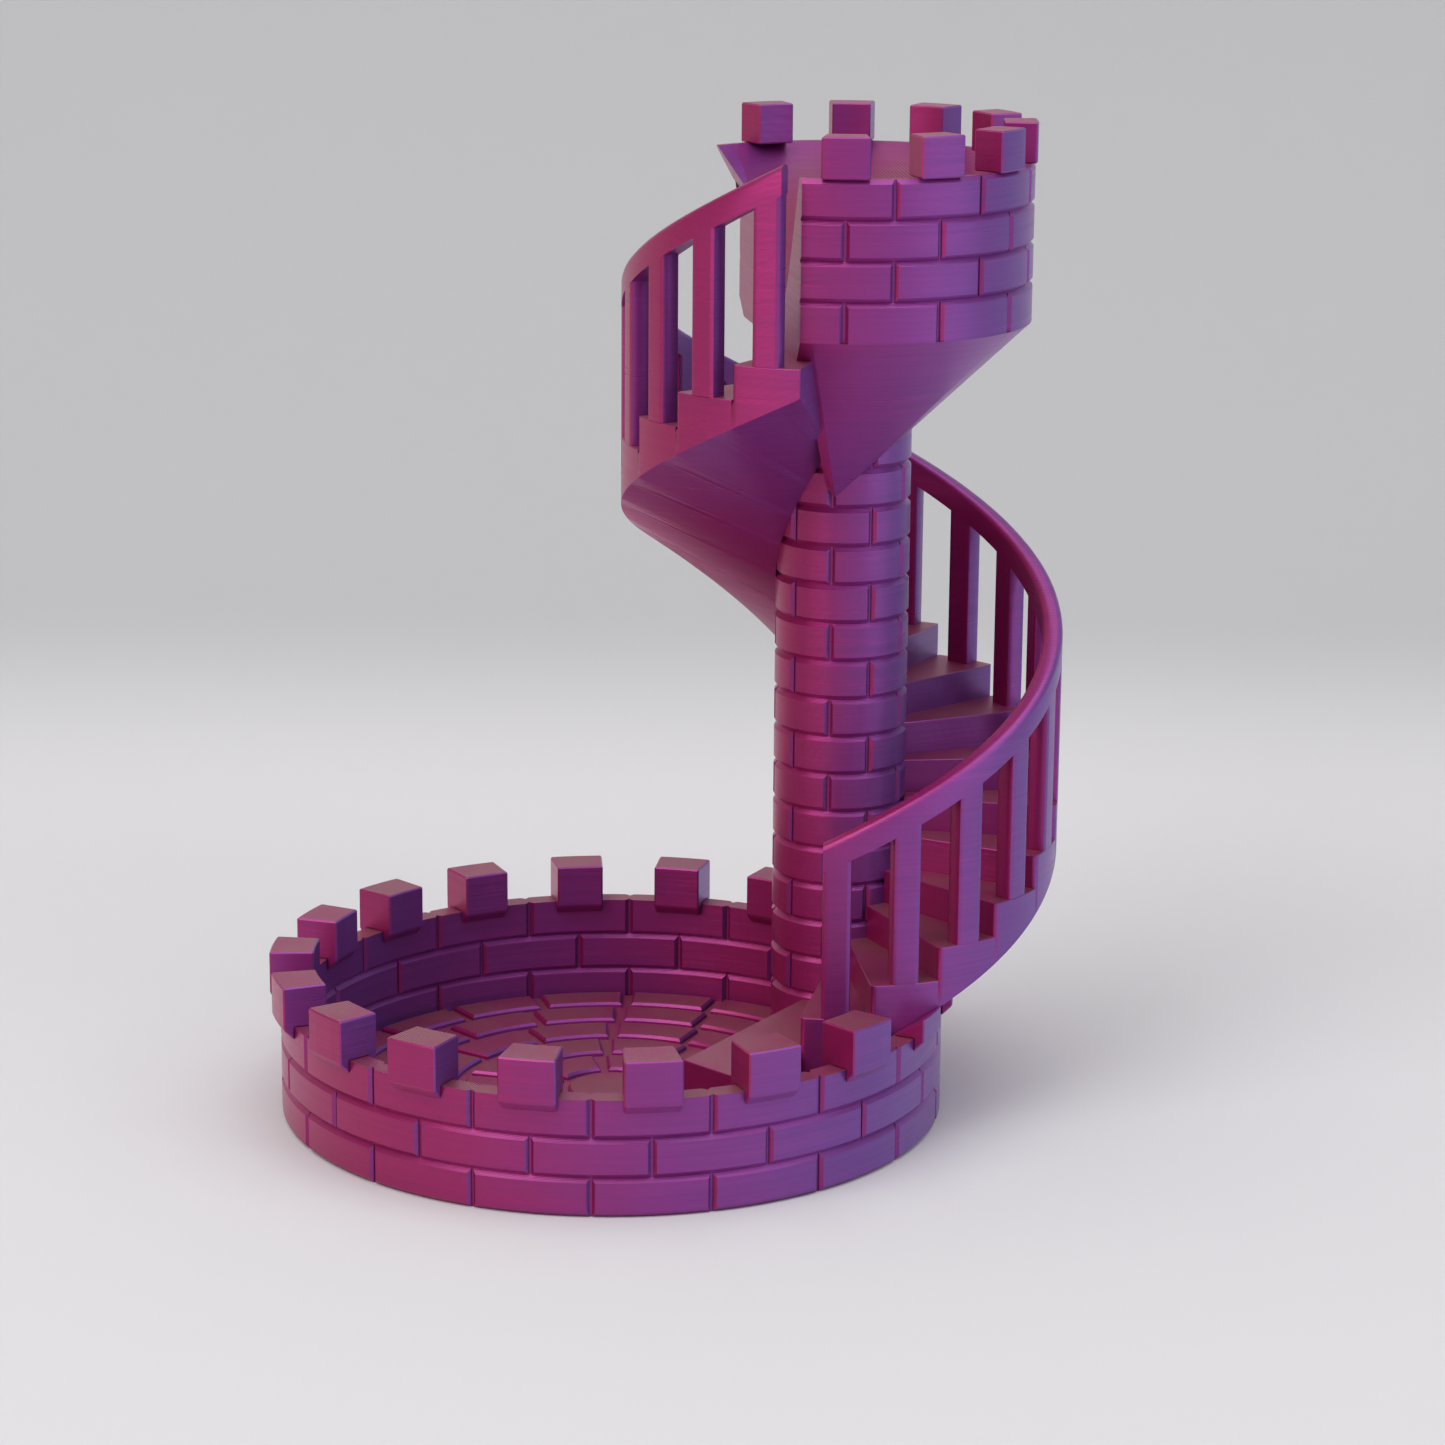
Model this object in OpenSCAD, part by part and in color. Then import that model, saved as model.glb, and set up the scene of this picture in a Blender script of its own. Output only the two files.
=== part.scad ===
// Castle dice tower: a round brick tray, a spiral stair round a brick column,
// and a battlemented funnel whose open side empties onto the top tread.
// Origin: centre of the tray on the table. +Z is up, +X points at the column.

/* [Tray] */
// Outer radius of the tray wall
tray_r = 60; // [54:0.5:72]
// Thickness of the tray wall
wall_t = 4; // [3:0.5:5]
// Height of one course of tray bricks
course_h = 7; // [6:0.1:8.4]
// Courses in the tray wall
wall_courses = 3; // [2:1:4]
// Bricks in one course of the tray wall
wall_bricks = 18; // [12:1:24]
// Angle of the first joint in the lowest course
wall_phase = 6.2; // [0:0.1:20]
// Thickness of the floor slab under the paving
slab_t = 1.4; // [1:0.1:3]
// Height of the paving stones above the slab
paving_t = 1; // [0.6:0.1:2]
// Radius of the round stone in the middle of the floor
centre_stone_r = 8; // [5:0.5:12]
// Gap between paving stones
paving_gap = 1.9; // [1:0.1:3]
// Rings of paving stones round the middle stone
paving_rings = 5; // [4:1:6]

/* [Brick joints] */
// Width of the upright joints between bricks
joint_w = 1.5; // [1:0.1:2]
// Depth of the upright joints
joint_d = 0.8; // [0.4:0.1:1]
// Chamfer along the top and bottom edges of a course
edge_c = 0.7; // [0.2:0.1:0.8]

/* [Battlements] */
// Height of a tray merlon above the wall
merlon_h = 7.4; // [5:0.1:10]
// Width of a tray merlon at its outer face
merlon_w = 10.1; // [8:0.1:12]
// Overhang of a tray merlon past each face of the wall
merlon_over = 2; // [0.5:0.1:2.5]
// Height of a parapet merlon
small_merlon_h = 7.2; // [5:0.1:10]
// Width of a parapet merlon at its outer face
small_merlon_w = 8.5; // [7:0.1:10]

/* [Column] */
// Distance from the centre of the tray to the centre of the column
tower_x = 44.5; // [42:0.1:54]
// Outer radius of the column
column_r = 12.1; // [10:0.1:14]
// Bricks in one course of the column
column_bricks = 5; // [4:1:8]
// Angle of the first joint in the lowest course of the column
column_phase = -15.7; // [-36:0.1:36]
// Height of the plain foot under the lowest course
foot_h = 2; // [1:0.1:4]
// Height of one course of column bricks
column_course_h = 7; // [6:0.1:8.4]

/* [Stair] */
// Outer radius of the stair
stair_r = 40.2; // [36:0.1:42]
// Treads in the stair
treads = 20; // [18:1:24]
// Angle that the whole stair winds through
stair_turn = 358; // [340:1:360]
// Height of each step
rise = 6.07; // [5.5:0.01:7]
// Height of the landing above the table
landing_z = 17.3; // [15:0.1:19]
// Direction of the first riser
stair_start = -122.75; // [-126:0.25:-118]
// Depth of the outer face of the stair below the nosing line
string_d = 11.1; // [9:0.1:13]
// Further fall of the underside from the outer edge to the column
soffit_fall = 13.1; // [10:0.1:16]
// Angle that the landing covers
landing_a = 21.2; // [18:0.1:24]
// Distance from the column centre to the free corner of the landing
landing_r = 52.8; // [50:0.1:56]

/* [Railing] */
// Height of the top of the handrail above the nosing line
rail_z = 30; // [26:0.5:34]
// Radial thickness of the railing
rail_t = 3.6; // [3:0.1:5]
// Depth of the handrail
rail_d = 5; // [4:0.1:6]
// Width of a baluster along the handrail
baluster_w = 5.2; // [3.5:0.1:6]

/* [Funnel] */
// Outer radius of the parapet
parapet_r = 33; // [28:0.5:35]
// Bricks in one full course of the parapet
parapet_bricks = 12; // [10:1:16]
// Angle of the first joint in the top course of the parapet
parapet_phase = -99.5; // [-110:0.5:-90]
// Courses in the parapet
parapet_courses = 4; // [3:1:5]
// Thickness of the parapet's bricks
parapet_brick_t = 1; // [0.8:0.1:1.5]
// Width of the rim of the bowl inside the bricks
rim_t = 1; // [0.6:0.1:2]
// Height of the bottom of the parapet above the top tread
parapet_lift = 3.4; // [1:0.1:6]
// Height of the outer cone below the parapet
cone_h = 30.6; // [26:0.1:34]
// Distance of the bowl's lowest point from the column centre
bowl_low_r = 18; // [14:0.5:22]
// Direction of the open side's front edge
front_edge_a = -127.6; // [-130:0.1:-125]
// Direction of the open side's back edge, on the lower courses
back_edge_a = 103.4; // [98:0.1:108]
// Direction of the tip of the back edge, at the rim
back_tip_a = 113.9; // [109:0.1:118]
// Height of the part of the back edge that slants out to its tip
back_tip_h = 9; // [6:0.5:12]

/* [Hidden] */
$fn = 96;
eps = 0.01;
step_a = stair_turn / treads;
wall_h = wall_courses * course_h;
wall_in_r = tray_r - wall_t;
floor_z = slab_t + paving_t;
foot_top = floor_z + foot_h;
top_z = landing_z + treads * rise;
column_courses = floor((top_z - foot_top) / column_course_h);
parapet_z = top_z + parapet_lift;
rim_z = parapet_z + parapet_courses * column_course_h;
brick_in_r = parapet_r - parapet_brick_t;
// Gap between the outermost paving stones and the wall
wall_gap = 0.6;
// Stones in ring n of the paving: a base number and so many more for each ring
base_stones = 4;
added_stones = 3;
// Parapet merlons: overhang past the outer face, and reach inside it
merlon_over_small = 0.4;
merlon_in_small = 5.6;
// Tray merlons: height of the corbelled foot, and of the outer face that shows under the stair
corbel_h = 2.4;
low_merlon_h = 3.9;
// Directions from the tray's centre between which the low end of the stair covers the wall
low_stair_from = -60;
low_stair_to = -12;
// Direction from the tray's centre where the outer face of the stair crosses the wall
low_stair_out = -35;
// Landing: length of its free edge, and the angle of that edge to the far edge
landing_edge = 22;
landing_turn = 78;
// Cuts in each step of the faceted spiral faces, and facets round each cone
soffit_cuts = 3;
cone_sides = 96;
// How far past its rim the bowl's inner cone is carried
bowl_stretch = 1.2;
// Angle from the open side's front edge to the bowl's lowest point
bowl_low_turn = 4;
// Angle from the first riser to the tip of the outer cone
cone_tip_turn = 2.1;
half_bar_a = asin(baluster_w / 2 / stair_r);
middle_from = floor(column_courses / 3);
upper_from = floor(2 * column_courses / 3);
// Reach of the space kept clear on the funnel's open side, from the tower's axis
open_r = 60;

// Height of the line through the nosings at angle a from the first riser
function nosing_z(a) = landing_z + rise + rise * a / step_a;
// Angle that a width w covers at radius r
function span_a(w, r) = 2 * asin(w / 2 / r);
// Point on the tower at radius r, angle a and height z
function tower_point(r, a, z) = [r * cos(a), r * sin(a), z];

// Sector of a circle from angle a0 to a1, of less than half a turn, as an outline
module sector(r, a0, a1) {
    cuts = 8;
    polygon(concat([[0, 0]], [for (i = [0:cuts]) let (a = a0 + (a1 - a0) * i / cuts) r * [cos(a), sin(a)]]));
}

// Block between radii r0 and r1 and angles a0 and a1, with true round faces
module arc_block(r0, r1, a0, a1, h) {
    rotate([0, 0, a0]) rotate_extrude(angle = a1 - a0) translate([r0, 0]) square([r1 - r0, h]);
}

// One course of bricks: a ring with chamfered edges and upright joints.
// inside is true where the inner face is brickwork too.
module brick_course(r0, r1, h, bricks, phase, inside) {
    inner_c = inside ? edge_c : 0;
    outline = [
        [r0 + inner_c, 0], [r1 - edge_c, 0], [r1, edge_c], [r1, h - edge_c], [r1 - edge_c, h],
        [r0 + inner_c, h], if (inside) [r0, h - edge_c], if (inside) [r0, edge_c]
    ];
    difference() {
        rotate_extrude() polygon(outline);
        for (i = [0:bricks - 1]) rotate([0, 0, phase + i * 360 / bricks]) {
            translate([r1 - joint_d, -joint_w / 2, -eps]) cube([2 * joint_d, joint_w, h + 2 * eps]);
            if (inside)
                translate([r0 - joint_d, -joint_w / 2, -eps]) cube([2 * joint_d, joint_w, h + 2 * eps]);
        }
    }
}

// Moves a piece from the centre of the tray to the centre of the column
module at_tower() {
    translate([tower_x, 0, 0]) children();
}

// ---- tray ----

module tray_base() {
    color("mediumvioletred") cylinder(r = wall_in_r, h = slab_t);
}

module centre_stone() {
    color("mediumvioletred") translate([0, 0, slab_t]) cylinder(r = centre_stone_r, h = paving_t);
}

// Ring n of the paving, counted from the middle, as separate stones
module paving_ring(n) {
    pitch = (wall_in_r - centre_stone_r) / paving_rings;
    r0 = centre_stone_r + (n - 1) * pitch + paving_gap;
    r1 = centre_stone_r + n * pitch - (n == paving_rings ? wall_gap : 0);
    stones = base_stones + added_stones * n;
    gap_a = span_a(paving_gap, (r0 + r1) / 2);
    color("mediumvioletred") translate([0, 0, slab_t]) for (i = [0:stones - 1]) {
        a0 = (i + n / 2) * 360 / stones + gap_a / 2;
        arc_block(r0, r1, a0, a0 + 360 / stones - gap_a, paving_t);
    }
}

module wall_course(n) {
    phase = wall_phase + (n % 2 == 0 ? 180 / wall_bricks : 0);
    color("mediumvioletred") translate([0, 0, (n - 1) * course_h]) difference() {
        brick_course(wall_in_r, tray_r, course_h, wall_bricks, phase, true);
        at_tower() translate([0, 0, -eps]) cylinder(r = column_r, h = course_h + 2 * eps);
    }
}

// Merlon astride the tray wall, centred on angle 0, with a corbelled foot on each face
module tray_merlon() {
    r0 = wall_in_r - merlon_over;
    r1 = tray_r + merlon_over;
    half_a = span_a(merlon_w, r1) / 2;
    outline = [
        [wall_in_r, 0], [tray_r, 0], [tray_r, -corbel_h], [r1, merlon_over - corbel_h],
        [r1, merlon_h], [r0, merlon_h], [r0, merlon_over - corbel_h], [wall_in_r, -corbel_h]
    ];
    rotate([0, 0, -half_a]) rotate_extrude(angle = 2 * half_a) polygon(outline);
}

// What shows of a merlon under the low end of the stair: its outer foot, sloped on top like
// the underside of the stair
module low_merlon() {
    r1 = tray_r + merlon_over;
    half_a = span_a(merlon_w, r1) / 2;
    outline = [
        [wall_in_r, 0], [tray_r, 0], [tray_r, -corbel_h], [r1, merlon_over - corbel_h], [r1, low_merlon_h]
    ];
    rotate([0, 0, -half_a]) rotate_extrude(angle = 2 * half_a) polygon(outline);
}

module tray_merlons() {
    pitch = 360 / wall_bricks;
    first = wall_phase + pitch / 2 - 180;
    color("mediumvioletred") translate([0, 0, wall_h]) for (i = [0:wall_bricks - 1]) {
        a = first + i * pitch;
        low = a > low_stair_from && a < low_stair_to;
        cut_r = low && a < low_stair_out ? stair_r : column_r;
        difference() {
            rotate([0, 0, a]) {
                if (low) low_merlon();
                else tray_merlon();
            }
            at_tower() translate([0, 0, -2 * corbel_h]) cylinder(r = cut_r, h = 4 * corbel_h + merlon_h);
        }
    }
}

// ---- column ----

module column_foot() {
    color("mediumvioletred") at_tower() translate([0, 0, floor_z])
        cylinder(r = column_r - edge_c, h = foot_h);
}

// Courses first to last of the column, each a separate solid
module column_run(first, last) {
    color("mediumvioletred") at_tower() for (i = [first:last]) {
        phase = column_phase + (i % 2 == 1 ? 180 / column_bricks : 0);
        translate([0, 0, foot_top + i * column_course_h])
            brick_course(0, column_r, column_course_h, column_bricks, phase, false);
    }
    if (last == column_courses - 1) column_cap();
}

// Short plain drum that brings the column up to the top tread
module column_cap() {
    cap_z = foot_top + column_courses * column_course_h;
    color("mediumvioletred") at_tower() translate([0, 0, cap_z]) cylinder(r = column_r, h = top_z - cap_z);
}

// ---- stair ----

// Solid of the stair from angle a_from to a_to past the first riser, with a level top and an
// underside that rises with the stair and falls toward the column, no lower than the paving
module stair_block(a_from, a_to, top) {
    cuts = round((a_to - a_from) * soffit_cuts / step_a);
    rings = [
        for (i = [0:cuts]) let (
            a = a_from + i * step_a / soffit_cuts,
            outer_z = nosing_z(a) - string_d,
            inner_z = max(floor_z, outer_z - soffit_fall)
        ) [
            tower_point(column_r, stair_start + a, inner_z), tower_point(stair_r, stair_start + a, outer_z),
            tower_point(stair_r, stair_start + a, top), tower_point(column_r, stair_start + a, top)
        ]
    ];
    sides = [
        for (i = [0:cuts - 1], j = [0:3]) let (k = (j + 1) % 4, b = 4 * i) each [
            [b + j, b + 4 + j, b + k], [b + k, b + 4 + j, b + 4 + k]
        ]
    ];
    last = 4 * cuts;
    ends = [[0, 1, 2, 3], [last + 3, last + 2, last + 1, last]];
    polyhedron(points = [for (r = rings) each r], faces = concat(sides, ends));
}

module tread_block(n) {
    stair_block((n - 1) * step_a, n * step_a, landing_z + n * rise);
}

module tread(n) {
    color("mediumvioletred") at_tower() tread_block(n);
}

// Deck at the foot of the stair: a radial far edge, and a free edge from its corner to the tray wall
module landing() {
    far_a = stair_start - landing_a;
    edge_a = far_a + landing_turn;
    corner = landing_r * [cos(far_a), sin(far_a)];
    edge_end = corner + landing_edge * [cos(edge_a), sin(edge_a)];
    outline = [[0, 0], corner, edge_end, 2 * stair_r * [cos(stair_start), sin(stair_start)]];
    color("mediumvioletred") intersection() {
        at_tower() translate([0, 0, floor_z]) difference() {
            linear_extrude(landing_z - floor_z) polygon(outline);
            translate([0, 0, -eps]) cylinder(r = column_r, h = landing_z);
        }
        cylinder(r = wall_in_r, h = landing_z);
    }
}

// ---- railing ----

// Baluster n stands on the middle of tread n and ends under the handrail
module baluster(n) {
    mid_a = (n - 0.5) * step_a;
    foot = landing_z + n * rise;
    a0 = stair_start + mid_a - half_bar_a;
    a1 = a0 + 2 * half_bar_a;
    z0 = nosing_z(mid_a - half_bar_a) + rail_z - rail_d;
    z1 = nosing_z(mid_a + half_bar_a) + rail_z - rail_d;
    r0 = stair_r - rail_t;
    polyhedron(
        points = [
            tower_point(r0, a0, foot), tower_point(stair_r, a0, foot),
            tower_point(stair_r, a1, foot), tower_point(r0, a1, foot),
            tower_point(r0, a0, z0), tower_point(stair_r, a0, z0),
            tower_point(stair_r, a1, z1), tower_point(r0, a1, z1)
        ],
        faces = [[0, 1, 2], [0, 2, 3], [4, 6, 5], [4, 7, 6], [0, 5, 1], [0, 4, 5],
                 [1, 6, 2], [1, 5, 6], [2, 7, 3], [2, 6, 7], [3, 4, 0], [3, 7, 4]]
    );
}

module balusters() {
    color("mediumvioletred") at_tower() for (n = [1:treads]) baluster(n);
}

// Handrail: one section swept up the helix, from the first baluster to the last
module handrail() {
    r0 = stair_r - rail_t;
    c = rail_t / 4;
    section = [
        [r0, -rail_d], [stair_r, -rail_d], [stair_r, -c], [stair_r - c, 0], [r0 + c, 0], [r0, -c]
    ];
    sides = len(section);
    bar_from = step_a / 2 - half_bar_a;
    bar_to = (treads - 0.5) * step_a + half_bar_a;
    // The rail has a cut at each side of each baluster, so that the two meet face to face
    gap = step_a - 2 * half_bar_a;
    from_mid = [-half_bar_a, half_bar_a, half_bar_a + gap / 3, half_bar_a + 2 * gap / 3];
    cuts = [
        for (n = [1:treads], k = [0:3]) if (n < treads || k < 2) (n - 0.5) * step_a + from_mid[k]
    ];
    points = [
        for (a = cuts, p = section)
        tower_point(p[0], stair_start + a, nosing_z(a) + rail_z + p[1])
    ];
    skin = [
        for (i = [0:len(cuts) - 2], j = [0:sides - 1]) let (k = (j + 1) % sides, b = sides * i) each [
            [b + j, b + sides + j, b + k], [b + k, b + sides + j, b + sides + k]
        ]
    ];
    last = sides * (len(cuts) - 1);
    ends = [[for (j = [0:sides - 1]) j], [for (j = [sides - 1:-1:0]) last + j]];
    color("mediumvioletred") at_tower() polyhedron(points = points, faces = concat(skin, ends));
}

// ---- funnel ----

// Space kept clear on the open side of the funnel: all that lies past an upright plane through
// its two edges, but for a tip that leans out at the top of the back edge
module open_side() {
    lap = 1;
    from_z = parapet_z - cone_h - lap;
    plane_a = (back_edge_a + front_edge_a + 360) / 2;
    plane_x = parapet_r * cos((360 + front_edge_a - back_edge_a) / 2);
    lean = parapet_r * cos(back_tip_a - plane_a) - plane_x;
    tip_top = back_tip_h + lap;
    translate([0, 0, from_z]) linear_extrude(top_z - from_z) sector(open_r, back_edge_a - 360, front_edge_a);
    rotate([0, 0, plane_a]) difference() {
        translate([plane_x, -open_r, top_z]) cube([open_r, 2 * open_r, rim_z + lap - top_z]);
        translate([plane_x, 0, rim_z - back_tip_h]) rotate([90, 0, 0]) linear_extrude(open_r)
            polygon([[-lap, 0], [0, 0], [lean * tip_top / back_tip_h, tip_top], [-lap, tip_top]]);
    }
}

// Oblique cone from the point tip up to a level circle of radius r at height z round the
// column, carried on past the circle by the factor stretch
module oblique_cone(r, z, tip, stretch = 1) {
    sides = cone_sides;
    rim = [for (i = [0:sides - 1]) tip + stretch * (tower_point(r, i * 360 / sides, z) - tip)];
    top = [for (i = [sides - 1:-1:0]) i];
    slopes = [for (i = [0:sides - 1]) [i, (i + 1) % sides, sides]];
    polyhedron(points = concat(rim, [tip]), faces = concat([top], slopes));
}

// Inside of the bowl: an oblique cone whose point lies beside the top tread
module bowl_space() {
    low_a = front_edge_a - bowl_low_turn;
    oblique_cone(brick_in_r - rim_t, rim_z, tower_point(bowl_low_r, low_a, top_z), bowl_stretch);
}

// Outside of the funnel: a drum for the bricks over an oblique cone with its point on the column
module funnel_outside() {
    tip_a = stair_start + cone_tip_turn;
    translate([0, 0, parapet_z]) cylinder(r = brick_in_r, h = rim_z - parapet_z);
    oblique_cone(parapet_r, parapet_z, tower_point(column_r, tip_a, parapet_z - cone_h));
}

module funnel_bowl() {
    color("mediumvioletred") at_tower() difference() {
        funnel_outside();
        bowl_space();
        open_side();
        cylinder(r = column_r, h = top_z);
        tread_block(treads);
    }
}

// Course n of the parapet, counted from the top
module parapet_course(n) {
    phase = parapet_phase + (n % 2 == 0 ? 180 / parapet_bricks : 0);
    color("mediumvioletred") at_tower() difference() {
        translate([0, 0, rim_z - n * column_course_h])
            brick_course(brick_in_r, parapet_r, column_course_h, parapet_bricks, phase, false);
        open_side();
    }
}

module parapet_merlons() {
    r1 = parapet_r + merlon_over_small;
    r0 = parapet_r - merlon_in_small;
    half_a = span_a(small_merlon_w, r1) / 2;
    pitch = 360 / parapet_bricks;
    first = parapet_phase - pitch / 2;
    count = floor((back_tip_a - first) / pitch) + 1;
    color("mediumvioletred") at_tower() translate([0, 0, rim_z]) for (i = [0:count - 1])
        arc_block(r0, r1, first + i * pitch - half_a, first + i * pitch + half_a, small_merlon_h);
}

tray_base();
centre_stone();
paving_ring(1);  // paving_ring_1
paving_ring(2);  // paving_ring_2
paving_ring(3);  // paving_ring_3
paving_ring(4);  // paving_ring_4
paving_ring(5);  // paving_ring_5
wall_course(1);  // wall_course_1
wall_course(2);  // wall_course_2
wall_course(3);  // wall_course_3
tray_merlons();
column_foot();
column_run(0, middle_from - 1);  // column_lower_courses
column_run(middle_from, upper_from - 1);  // column_middle_courses
column_run(upper_from, column_courses - 1);  // column_upper_courses
landing();
tread(1);  // tread_01
tread(2);  // tread_02
tread(3);  // tread_03
tread(4);  // tread_04
tread(5);  // tread_05
tread(6);  // tread_06
tread(7);  // tread_07
tread(8);  // tread_08
tread(9);  // tread_09
tread(10);  // tread_10
tread(11);  // tread_11
tread(12);  // tread_12
tread(13);  // tread_13
tread(14);  // tread_14
tread(15);  // tread_15
tread(16);  // tread_16
tread(17);  // tread_17
tread(18);  // tread_18
tread(19);  // tread_19
tread(20);  // tread_20
balusters();
handrail();
funnel_bowl();
parapet_course(1);  // parapet_course_1
parapet_course(2);  // parapet_course_2
parapet_course(3);  // parapet_course_3
parapet_course(4);  // parapet_course_4
parapet_merlons();
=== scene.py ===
"""Castle dice tower printed in two-tone silk plastic: brick tray, spiral stair, column and funnel.

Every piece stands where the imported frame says, in metres, with its place in its mesh.
"""

from math import acos, asin, atan2, ceil, cos, hypot, pi, radians, sin

import bmesh
import bpy
from bpy.props import FloatProperty, FloatVectorProperty, IntProperty, PointerProperty
from mathutils import Matrix, Vector


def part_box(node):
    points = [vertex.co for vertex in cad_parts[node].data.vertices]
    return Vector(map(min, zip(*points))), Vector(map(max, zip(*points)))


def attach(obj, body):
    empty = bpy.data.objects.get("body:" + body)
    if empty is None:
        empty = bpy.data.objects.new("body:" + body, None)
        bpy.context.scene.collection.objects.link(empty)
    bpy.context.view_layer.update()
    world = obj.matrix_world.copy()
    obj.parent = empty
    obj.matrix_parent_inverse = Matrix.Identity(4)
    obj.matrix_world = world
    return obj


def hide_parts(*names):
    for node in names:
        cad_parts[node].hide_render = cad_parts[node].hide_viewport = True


bl_info = {
    "name": "Castle dice tower",
    "version": (1, 0, 0),
    "blender": (4, 5, 0),
    "location": "3D View > Sidebar > Dice tower",
    "description": "Builds a brick dice tower with a spiral stair round the packed frame",
    "category": "Object",
}

MM = 0.001
TURN = 2 * pi

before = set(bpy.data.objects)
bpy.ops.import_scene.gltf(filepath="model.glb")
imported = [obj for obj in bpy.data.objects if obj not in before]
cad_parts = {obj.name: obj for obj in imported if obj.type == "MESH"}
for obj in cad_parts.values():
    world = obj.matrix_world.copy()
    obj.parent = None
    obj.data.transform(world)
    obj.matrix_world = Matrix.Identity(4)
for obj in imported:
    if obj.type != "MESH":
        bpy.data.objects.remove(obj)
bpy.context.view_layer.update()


def low(node):
    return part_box(node)[0]


def high(node):
    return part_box(node)[1]


# Sizes of the frame that the pieces are built round
TRAY_R = high("wall_course_1").y
WALL_IN_R = high("tray_base").y
SLAB_Z = high("tray_base").z
FLOOR_Z = high("centre_stone").z
CENTRE_STONE_R = high("centre_stone").y
COURSE_H = high("wall_course_1").z
TOWER = (low("column_middle_courses") + high("column_middle_courses")) / 2
TOWER_AT = Vector((TOWER.x, TOWER.y, 0))
COLUMN_R = high("column_middle_courses").x - TOWER.x
FOOT_TOP = high("column_foot").z
STAIR_R = (high("handrail").x - low("handrail").x) / 2
LANDING_Z = high("landing").z
TOP_Z = high("tread_20").z
PARAPET_R = high("parapet_course_1").x - TOWER.x
RIM_Z = high("parapet_course_1").z
TOWER_COURSE_H = RIM_Z - low("parapet_course_1").z

TREADS = 20
STAIR_TURN = radians(358)
STEP_A = STAIR_TURN / TREADS
RISE = (TOP_Z - LANDING_Z) / TREADS
PITCH = RISE * TURN / STEP_A
STAIR_START = radians(-122.75)
WALL_COURSES = 3
WALL_PHASE = radians(6.2)
COLUMN_COURSES = 19
COLUMN_PHASE = radians(-15.7)
PARAPET_COURSES = 4
PARAPET_PHASE = radians(-99.5)
FRONT_EDGE_A = radians(-127.6)
BACK_EDGE_A = radians(103.4)
BACK_TIP_A = radians(113.9)
BACK_TIP_H = 9 * MM
# The open side's upright plane: the direction it faces and its distance from the tower's axis
OPEN_A = (BACK_EDGE_A + FRONT_EDGE_A + TURN) / 2
OPEN_X = PARAPET_R * cos((TURN + FRONT_EDGE_A - BACK_EDGE_A) / 2)
TIP_X = PARAPET_R * cos(OPEN_A - BACK_TIP_A)
PAVING_RINGS = 5
WALL_GAP = 0.6 * MM
BASE_STONES = 4
ADDED_STONES = 3
PARAPET_BRICK_T = 1 * MM
SMOOTH_A = radians(32)
REFINED_A = radians(12)
FINE_A = radians(1.5)
STONE_FINE_A = radians(3)
BRICK_FINE_A = radians(2.5)
NEAR = 0.01 * MM


# ---- settings a user would change ----


class TowerBricks(bpy.types.PropertyGroup):
    """Sizes of the brickwork"""

    joint_w: FloatProperty(
        name="Joint width", description="Width of an upright joint at its bottom",
        default=0.5 * MM, min=0.05 * MM, max=2 * MM, unit="LENGTH",
    )
    joint_side: FloatProperty(
        name="Joint side", description="Chamfer of a brick's face beside an upright joint",
        default=0.55 * MM, min=0.1 * MM, max=0.9 * MM, unit="LENGTH",
    )
    joint_d: FloatProperty(
        name="Joint depth", description="Depth of the upright joints",
        default=0.8 * MM, min=0.3 * MM, max=1.5 * MM, unit="LENGTH",
    )
    chamfer: FloatProperty(
        name="Course chamfer", description="Chamfer along the top and bottom of a brick's face",
        default=0.8 * MM, min=0.1 * MM, max=0.9 * MM, unit="LENGTH",
    )
    wall_bricks: IntProperty(
        name="Wall bricks", description="Bricks in one course of the tray wall", default=18, min=6, max=36,
    )
    column_bricks: IntProperty(
        name="Column bricks", description="Bricks in one course of the column", default=5, min=3, max=12,
    )
    parapet_bricks: IntProperty(
        name="Parapet bricks", description="Bricks in one full course of the parapet",
        default=12, min=6, max=24,
    )
    paving_gap: FloatProperty(
        name="Paving gap", description="Gap between paving stones",
        default=1.9 * MM, min=0.5 * MM, max=4 * MM, unit="LENGTH",
    )
    stone_edge: FloatProperty(
        name="Stone edge", description="Chamfer round the top of a paving stone",
        default=0.45 * MM, min=0.05 * MM, max=0.8 * MM, unit="LENGTH",
    )


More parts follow.
